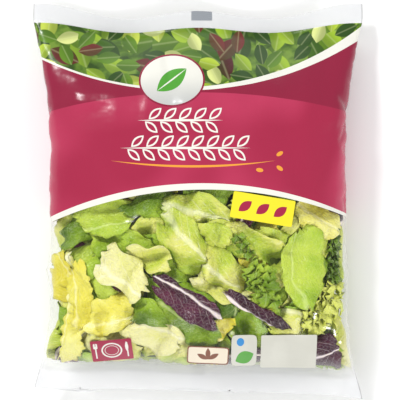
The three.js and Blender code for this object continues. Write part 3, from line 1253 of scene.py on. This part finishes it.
# The sensor's mark on the top weld, and the tags and labels over the clear film
LABELS = (
    (Print.panel, (3, 152, 17, 8), "mark_ink"),
    (Print.panel, (51.5, -6, 50, 21, -9.5), "yellow_ink"),
    *tag_leaves(),
    *TABLE_SIGN,
    (Print.panel, (8, -124, 33.5, 15.5, -3, 12), "brown_ink"),
    (Print.panel, (8, -124, 31.7, 13.7, -3, 12), "cream_ink"),
    *fan_leaves(),
    (Print.panel, (37, -120, 20.5, 27, 0, 7), "panel_ink"),
    (Print.panel, (34, -112.5, 6, 7, 0, 2), "drop_ink"),
    (Print.pointed, (37.5, -126, 16, 11, 25), "leaf_ink"),
    (Print.panel, (73, -121, 45, 28.6, 0), "panel_ink"),
)

# Ridges that the sealing jaws leave in the welds: their pitch, and how strong they are
CRIMP_PITCH = 1.8 * MM
CRIMP_DEPTH = 0.25 / MM

# How milky the film is in its bottom weld, its top weld, its side folds and its back seam, the
# folds' breadth as a share of the front's half, and the seam's breadth
LOW_WELD_HAZE = 0.5
HIGH_WELD_HAZE = 0.6
FOLD_HAZE = 0.26
SEAM_HAZE = 0.25
FOLD_BREADTH = 0.14
BACK_SEAM = 11 * MM

# Colour of that milk in the folds and in the welds
FOLD_MILK = (0.92, 0.92, 0.93, 1)
WELD_MILK = (0.66, 0.67, 0.68, 1)

# The film's mirror seen at a glance, and seen straight on
GRAZING_MIRROR = 0.8
FACING_MIRROR = 0.022


def film_relief(print_):
    """Soft ripples and ridges all over the film, and the ribs of its welds."""
    tree, length = print_.tree, print_.length
    ripple = add(tree, "TexNoise", print_.place, inputs={"Scale": 1 / (14 * MM), "Detail": 2.0})
    ridges = add(
        tree, "TexNoise", print_.place, inputs={"Scale": 1 / (34 * MM), "Detail": 1.0},
        noise_type="RIDGED_MULTIFRACTAL",
    )
    low = add(tree, "MapRange", length, BOTTOM_WELD - 1 * MM, BOTTOM_WELD, CRIMP_DEPTH, 0.0)
    high = add(tree, "MapRange", length, WELD_FOOT, WELD_FOOT + 1 * MM, 0.0, CRIMP_DEPTH)
    in_welds = add(tree, "Math", low, high, operation="MAXIMUM")
    ribs = add(tree, "Math", length, CRIMP_PITCH / 2, operation="PINGPONG")
    crimp = add(tree, "Math", ribs, in_welds, operation="MULTIPLY")
    ridged = add(tree, "Math", ridges, 0.5, ripple, operation="MULTIPLY_ADD")
    relief = add(tree, "Math", ridged, crimp, operation="ADD")
    return add(tree, "Bump", inputs={"Height": relief, "Strength": 0.35, "Distance": 1.5 * MM})


def film_haze(print_):
    """How milky the welds are, and how milky the whole film is."""
    tree, length, fold_share = print_.tree, print_.length, print_.fold_share
    low = add(tree, "MapRange", length, BOTTOM_WELD - 2 * MM, BOTTOM_WELD + 21 * MM, LOW_WELD_HAZE, 0.0)
    high = add(tree, "MapRange", length, WELD_FOOT - 3 * MM, WELD_FOOT + 1 * MM, 0.0, HIGH_WELD_HAZE)
    welds = add(tree, "Math", low, high, operation="ADD")
    near_fold = add(tree, "MapRange", fold_share, 1 - FOLD_BREADTH, 1.0, 0.0, FOLD_HAZE)
    past_fold = add(tree, "MapRange", fold_share, 1.0, 1 + FOLD_BREADTH, FOLD_HAZE, 0.0)
    fold = add(tree, "Math", near_fold, past_fold, operation="MINIMUM")
    seam_edge = 2 - 2 * BACK_SEAM / GIRTH
    seam = add(tree, "MapRange", fold_share, seam_edge, seam_edge + 0.002, 0.0, SEAM_HAZE)
    doubled = add(tree, "Math", fold, seam, operation="MAXIMUM")
    return welds, add(tree, "Math", welds, doubled, operation="ADD", use_clamp=True)


def clear_film(print_, bump):
    """Clear film that mirrors most at a glance, with the milk of its doubled parts."""
    tree = print_.tree
    clear = add(tree, "BsdfTransparent", (1, 1, 1, 1))
    gloss = add(tree, "BsdfGlossy", (1, 1, 1, 1), inputs={"Roughness": 0.13, "Normal": bump})
    facing = add(tree, "LayerWeight", inputs={"Blend": 0.5, "Normal": bump}).outputs["Facing"]
    grazing = add(tree, "Math", facing, 5.0, operation="POWER")
    mirror = add(tree, "Math", grazing, GRAZING_MIRROR, FACING_MIRROR, operation="MULTIPLY_ADD")
    shiny = add(tree, "MixShader", mirror, clear, gloss)
    welds, haze = film_haze(print_)
    milk = add(tree, "BsdfDiffuse", add(tree, "Mix", welds, FOLD_MILK, WELD_MILK))
    return add(tree, "MixShader", haze, shiny, milk)


def film_material():
    """Oriented polypropylene film, printed on its back and welded: glossy, nearly clear, and a
    little milky where two layers lie together at its welds and side folds."""
    material, tree = new_material("printed polypropylene film")
    print_ = Print(tree)
    printed_fields(print_)
    printed_badge(print_)
    printed_ornament(print_)
    print_.lay_shapes(LABELS)
    bump = film_relief(print_)
    inked = add(
        tree, "BsdfPrincipled",
        inputs={
            "Base Color": print_.colour, "Roughness": 0.22, "IOR": 1.49, "Specular IOR Level": 0.3,
            "Normal": bump,
        },
    )
    film = add(tree, "MixShader", print_.cover, clear_film(print_, bump), inked)
    add(tree, "OutputMaterial", film)
    return material


# Operators

# The film and its creases, which the film's operator makes and the later ones read
bag = {}


class SALADBAG_OT_film(bpy.types.Operator):
    """Make the printed film bag"""

    bl_idname = "salad_bag.film"
    bl_label = "Film bag"

    def execute(self, context):
        film = Film(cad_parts[CAD_NODE])
        film.settle()
        bag["film"] = film
        bm = bmesh.new()
        uv_layer = bm.loops.layers.uv.new("flat_film")
        verts, across, along = grid_verts(bm, 2 * FILM_COLUMNS, 2 * FILM_ROWS)
        girth = across * GIRTH / 2
        length = (along + 1) / 2 * FILM_LENGTH
        points, way, room = film.inward(before_seam(girth), length)
        bag["creases"] = crease_lines(np.random.default_rng(SEED + 1))
        depth = np.minimum(film_depth(girth, length, bag["creases"]), 0.3 * room)
        points = points + way * depth[:, None]
        for face in bm.faces:
            for loop in face.loops:
                loop[uv_layer].uv = (loop.vert.co.xy + Vector((1, 1))) / 2
        move_to(verts, points)
        bmesh.ops.remove_doubles(bm, verts=bm.verts, dist=0.01 * MM)
        bmesh.ops.recalc_face_normals(bm, faces=bm.faces)
        piece = finish_piece(bm, "film_bag", film_material(), "clear_film")
        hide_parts(CAD_NODE)
        return {"FINISHED"}


class SALADBAG_OT_core(bpy.types.Operator):
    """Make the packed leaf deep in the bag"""

    bl_idname = "salad_bag.core"
    bl_label = "Packed core"

    COLUMNS = 120
    ROWS = 70
    LUMP_HEIGHT = 2 * MM

    def execute(self, context):
        film = bag["film"]
        bm = bmesh.new()
        verts, across, along = grid_verts(bm, self.COLUMNS, self.ROWS)
        girth = before_seam(across * GIRTH / 2)
        low = CONTENTS_FROM + 4 * MM
        length = low + (along + 1) / 2 * (CONTENTS_TO - low)
        points, way, room = film.inward(girth, length)
        end = np.clip(1 - np.abs(along) ** 8, 0, 1)
        lumps = np.sin(girth / (7 * MM)) * np.sin(length / (6 * MM) + 2 * np.sin(girth / (19 * MM)))
        depth = sizes().core_depth + self.LUMP_HEIGHT * lumps
        depth = within(depth, room) * end + room * (1 - end)
        move_to(verts, points + way * depth[:, None])
        bmesh.ops.remove_doubles(bm, verts=bm.verts, dist=0.02 * MM)
        bmesh.ops.recalc_face_normals(bm, faces=bm.faces)
        finish_piece(bm, "packed_core", core_material(), "green_leaf")
        return {"FINISHED"}


class SALADBAG_OT_leaves(bpy.types.Operator):
    """Lay the leaves against the film, one piece for each kind"""

    bl_idname = "salad_bag.leaves"
    bl_label = "Leaves"

    def execute(self, context):
        laid = lay_leaves(bag["film"])
        for kind in KINDS:
            bm = bmesh.new()
            place_layer = bm.verts.layers.float_vector.new("leaf_place")
            rib_layer = bm.verts.layers.deform.verify()
            for one in laid:
                if one.kind is kind:
                    one.build(bm, place_layer, rib_layer)
            piece = finish_piece(bm, kind.name, leaf_material(LOOKS[kind.name]), kind.slot)
            piece.vertex_groups.new(name="rib")
            wall = piece.modifiers.new("leaf thickness", "SOLIDIFY")
            wall.thickness = sizes().leaf_thickness
            wall.vertex_group = "rib"
            wall.offset = 0
        return {"FINISHED"}


class SALADBAG_OT_stage(bpy.types.Operator):
    """Make the floor, lights and camera"""

    bl_idname = "salad_bag.stage"
    bl_label = "Stage"

    CAMERA_LENS = 200
    FRAME_SIZE = 327 * MM
    FRAME_MIDDLE = (1.6 * MM, 1.2 * MM)
    OUTLINE_HEIGHT = 20 * MM
    SKY = 0.56

    # Each soft light's name, where it comes from, its strength and its breadth in degrees
    SUNS = (
        ("key", (-0.8, 0.9, 1.0), 2.2, 12),
        ("fill", (1.5, -0.9, 1.0), 1.3, 9),
        ("front", (-0.3, -1.3, 1.0), 0.75, 30),
    )

    def execute(self, context):
        self.make_floor()
        self.make_camera()
        self.make_lights()
        return {"FINISHED"}

    def make_floor(self):
        bm = bmesh.new()
        bmesh.ops.create_grid(bm, x_segments=4, y_segments=4, size=3)
        mesh = bpy.data.meshes.new("floor")
        bm.to_mesh(mesh)
        bm.free()
        material, tree = new_material("matt paper")
        paper = add(tree, "BsdfPrincipled", inputs={"Base Color": ink("floor"), "Roughness": 0.9})
        add(tree, "OutputMaterial", paper)
        mesh.materials.append(material)
        floor = bpy.data.objects.new("floor", mesh)
        bpy.context.scene.collection.objects.link(floor)

    def make_camera(self):
        data = bpy.data.cameras.new("camera")
        data.lens = self.CAMERA_LENS
        data.sensor_width = 36
        camera = bpy.data.objects.new("camera", data)
        distance = self.FRAME_SIZE * self.CAMERA_LENS / data.sensor_width
        camera.location = (*self.FRAME_MIDDLE, self.OUTLINE_HEIGHT + distance)
        bpy.context.scene.collection.objects.link(camera)
        bpy.context.scene.camera = camera

    def make_lights(self):
        world = bpy.data.worlds.new("studio")
        world.use_nodes = True
        sky = world.node_tree.nodes["Background"]
        sky.inputs["Color"].default_value = (1, 1, 1, 1)
        sky.inputs["Strength"].default_value = self.SKY
        bpy.context.scene.world = world
        bpy.context.scene.view_settings.view_transform = "Standard"
        for sun in self.SUNS:
            self.soft_sun(*sun)

    def soft_sun(self, name, towards, strength, breadth):
        data = bpy.data.lights.new(name, "SUN")
        data.angle = math.radians(breadth)
        data.energy = strength
        light = bpy.data.objects.new(name, data)
        light.rotation_euler = Vector(towards).to_track_quat("Z", "Y").to_euler()
        bpy.context.scene.collection.objects.link(light)


class SALADBAG_PT_panel(bpy.types.Panel):
    """Lists the steps that make the bag"""

    bl_label = "Salad bag"
    bl_space_type = "VIEW_3D"
    bl_region_type = "UI"
    bl_category = "Salad bag"

    def draw(self, context):
        for name in STEPS:
            self.layout.operator("salad_bag." + name)
        for group in (context.scene.salad_bag_sizes, context.scene.salad_bag_colours):
            box = self.layout.box()
            for name in group.__annotations__:
                box.prop(group, name)


STEPS = ("film", "core", "leaves", "stage")
CLASSES = (
    SaladBagSizes,
    SaladBagColours,
    SALADBAG_OT_film,
    SALADBAG_OT_core,
    SALADBAG_OT_leaves,
    SALADBAG_OT_stage,
    SALADBAG_PT_panel,
)


def register():
    for one in CLASSES:
        bpy.utils.register_class(one)
    bpy.types.Scene.salad_bag_sizes = PointerProperty(type=SaladBagSizes)
    bpy.types.Scene.salad_bag_colours = PointerProperty(type=SaladBagColours)


def unregister():
    del bpy.types.Scene.salad_bag_colours
    del bpy.types.Scene.salad_bag_sizes
    for one in reversed(CLASSES):
        bpy.utils.unregister_class(one)


def main():
    register()
    for name in STEPS:
        getattr(bpy.ops.salad_bag, name)()


if __name__ == "__main__":
    main()
